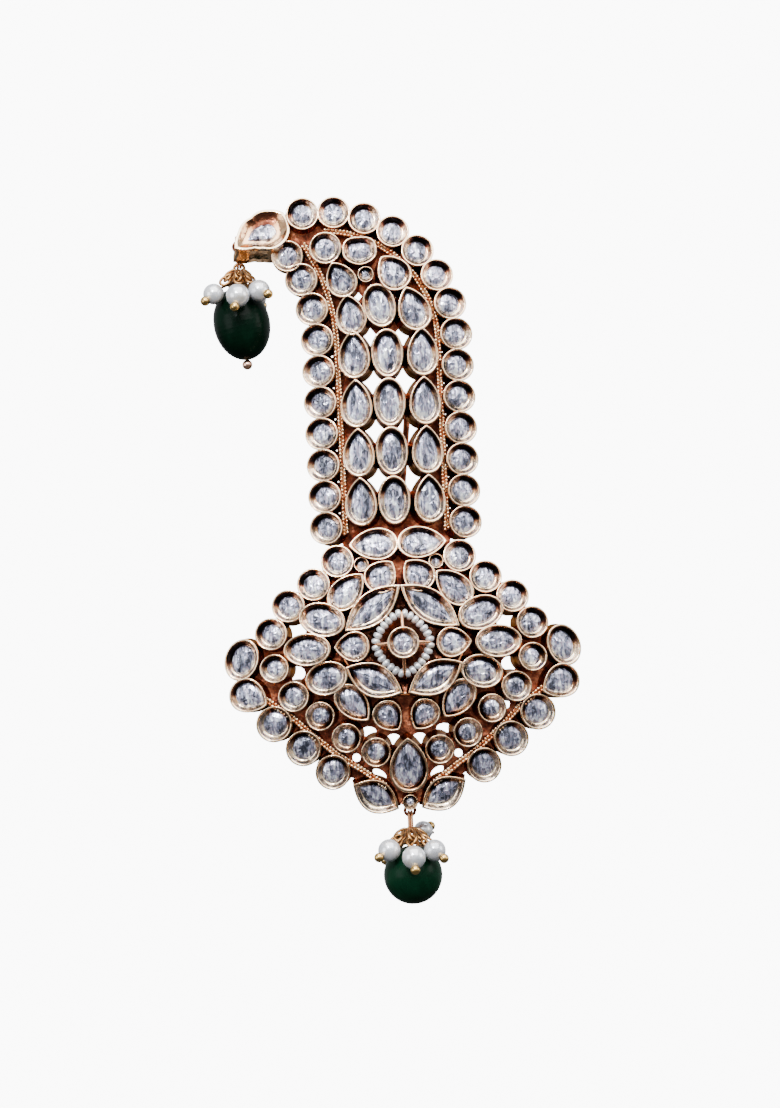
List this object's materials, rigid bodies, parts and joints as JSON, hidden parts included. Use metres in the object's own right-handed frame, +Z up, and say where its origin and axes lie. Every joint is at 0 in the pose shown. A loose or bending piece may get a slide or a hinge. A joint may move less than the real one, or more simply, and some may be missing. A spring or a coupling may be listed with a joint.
{
  "type": "turban brooch",
  "caption": "Kalgi turban brooch: a curved column of set stones above a domed rhombic plaque, with a pearl pendant at its bud and another at its lower tip.",
  "frame": {"origin": "on the axis of the back pin's stem, 3 mm below its post, where cloth sits on it", "axes": "+X to the right seen from the front, +Y to the back, +Z up the column"},
  "size_m": [0.0656, 0.0216, 0.1286],
  "materials": {
    "rose_gold": "polished",
    "yellow_gold": "polished",
    "foiled_stone": "polished, silver foil behind",
    "pearl": "lustrous",
    "green_stone": "polished, nearly opaque"
  },
  "bodies": {
    "brooch": {"column_setting": "rose_gold", "plaque_setting": "rose_gold", "back_pin": "rose_gold", "seed_pearl_string": "pearl", "bud_stone": "foiled_stone", "tip_round_stone": "foiled_stone", "tip_pear_stone": "foiled_stone", "flower_stone": "foiled_stone", "upper_leaf_stone_left": "foiled_stone", "upper_leaf_stone_right": "foiled_stone", "lower_leaf_stone_left": "foiled_stone", "lower_leaf_stone_right": "foiled_stone", "side_pear_stone_left": "foiled_stone", "side_pear_stone_right": "foiled_stone", "column_oval_stone_1": "foiled_stone", "column_oval_stone_2": "foiled_stone", "column_oval_stone_3": "foiled_stone", "column_oval_stone_4": "foiled_stone", "column_oval_stone_5": "foiled_stone", "column_border_stones_left": "foiled_stone", "column_border_stones_right": "foiled_stone", "column_pear_stones_left": "foiled_stone", "column_pear_stones_right": "foiled_stone", "plaque_border_stones_left": "foiled_stone", "plaque_border_stones_right": "foiled_stone", "plaque_tier_stones_left": "foiled_stone", "plaque_tier_stones_right": "foiled_stone", "column_top_stones": "foiled_stone"},
    "upper_link": {"upper_ring": "rose_gold"},
    "upper_pendant": {"upper_wires": "yellow_gold", "upper_drop": "green_stone", "upper_pearl_1": "pearl", "upper_pearl_2": "pearl", "upper_pearl_3": "pearl", "upper_pearl_4": "pearl", "upper_pearl_5": "pearl", "upper_pearl_6": "pearl"},
    "lower_link": {"lower_ring": "rose_gold"},
    "lower_pendant": {"lower_wires": "yellow_gold", "lower_bead": "green_stone", "lower_pearl_1": "pearl", "lower_pearl_2": "pearl", "lower_pearl_3": "pearl", "lower_pearl_4": "pearl", "lower_pearl_5": "pearl", "lower_pearl_6": "pearl"}
  },
  "joints": [
    {"name": "upper_nod", "type": "hinge", "parent": "brooch", "child": "upper_link", "pos_m": [-0.0292, -0.0039, 0.0323], "axis": [1, 0, 0], "range_deg": [-25, 25]},
    {"name": "upper_sway", "type": "hinge", "parent": "upper_link", "child": "upper_pendant", "pos_m": [-0.0292, -0.0039, 0.0294], "axis": [0, 1, 0], "range_deg": [-12, 30]},
    {"name": "lower_nod", "type": "hinge", "parent": "brooch", "child": "lower_link", "pos_m": [-0.003, -0.0059, -0.0717], "axis": [1, 0, 0], "range_deg": [-25, 25]},
    {"name": "lower_sway", "type": "hinge", "parent": "lower_link", "child": "lower_pendant", "pos_m": [-0.003, -0.0059, -0.0746], "axis": [0, 1, 0], "range_deg": [-30, 30]}
  ]
}
